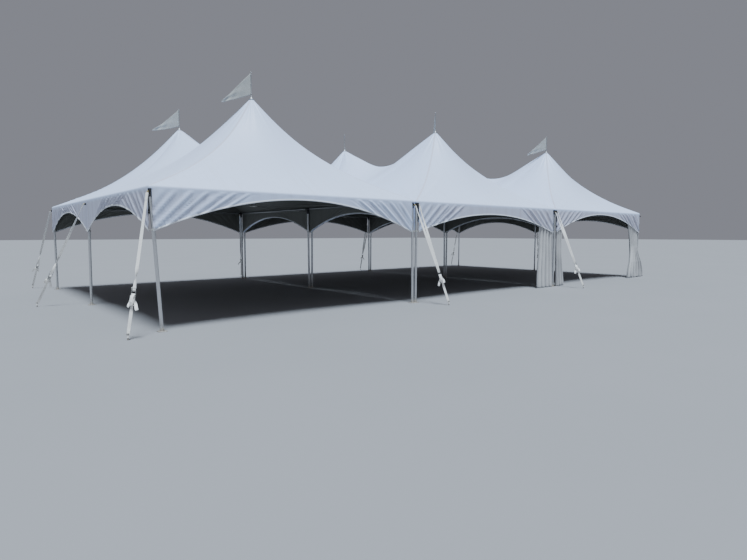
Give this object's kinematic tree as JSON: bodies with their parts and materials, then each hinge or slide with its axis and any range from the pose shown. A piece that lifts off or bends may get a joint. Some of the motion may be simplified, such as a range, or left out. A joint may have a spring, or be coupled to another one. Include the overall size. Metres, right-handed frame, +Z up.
{
  "type": "high-peak frame marquee tent",
  "caption": "White high-peak frame marquee of three two-peak tents, with arched valances, masts on crossed cables, pennants, guy straps and bunched curtains.",
  "frame": {"origin": "on the ground at the middle of the plan", "axes": "+Z up, +X along the front to the right, +Y from the front to the back"},
  "size_m": [20.282, 10.948, 5.32],
  "materials": {
    "fabric": "white coated roof fabric, satin",
    "flag_cloth": "thin white flag cloth",
    "curtain_cloth": "off-white sidewall cloth",
    "webbing": "white polyester webbing",
    "tube": "plain extruded tube, dulled",
    "leg_tube": "plain extruded tube, scuffed",
    "cable": "galvanised wire cable, dull"
  },
  "bodies": {
    "root": {"canopy_left": "fabric", "eave_frame_left": "tube", "mast_front_left": "tube", "cables_front_left": "cable", "pennant_front_left": "flag_cloth", "mast_back_left": "tube", "cables_back_left": "cable", "pennant_back_left": "flag_cloth", "canopy_middle": "fabric", "eave_frame_middle": "tube", "mast_front_middle": "tube", "cables_front_middle": "cable", "pennant_front_middle": "flag_cloth", "mast_back_middle": "tube", "cables_back_middle": "cable", "pennant_back_middle": "flag_cloth", "canopy_right": "fabric", "eave_frame_right": "tube", "mast_front_right": "tube", "cables_front_right": "cable", "pennant_front_right": "flag_cloth", "mast_back_right": "tube", "cables_back_right": "cable", "pennant_back_right": "flag_cloth", "legs_front_left": "leg_tube", "legs_front_inner_left": "leg_tube", "legs_front_inner_right": "leg_tube", "legs_front_right": "leg_tube", "legs_centre_left": "leg_tube", "legs_centre_inner_left": "leg_tube", "legs_centre_inner_right": "leg_tube", "legs_centre_right": "leg_tube", "legs_back_left": "leg_tube", "legs_back_inner_left": "leg_tube", "legs_back_inner_right": "leg_tube", "legs_back_right": "leg_tube", "strap_front_left": "webbing", "strap_front_inner_left": "webbing", "strap_front_inner_right": "webbing", "strap_centre_left": "webbing", "strap_back_left": "webbing", "strap_back_inner_left": "webbing", "strap_back_inner_right": "webbing", "strap_centre_right": "webbing", "strap_back_right": "webbing", "curtain_middle_bay": "curtain_cloth", "curtain_right_bay_left": "curtain_cloth", "curtain_right_bay_right": "curtain_cloth"}
  },
  "joints": []
}
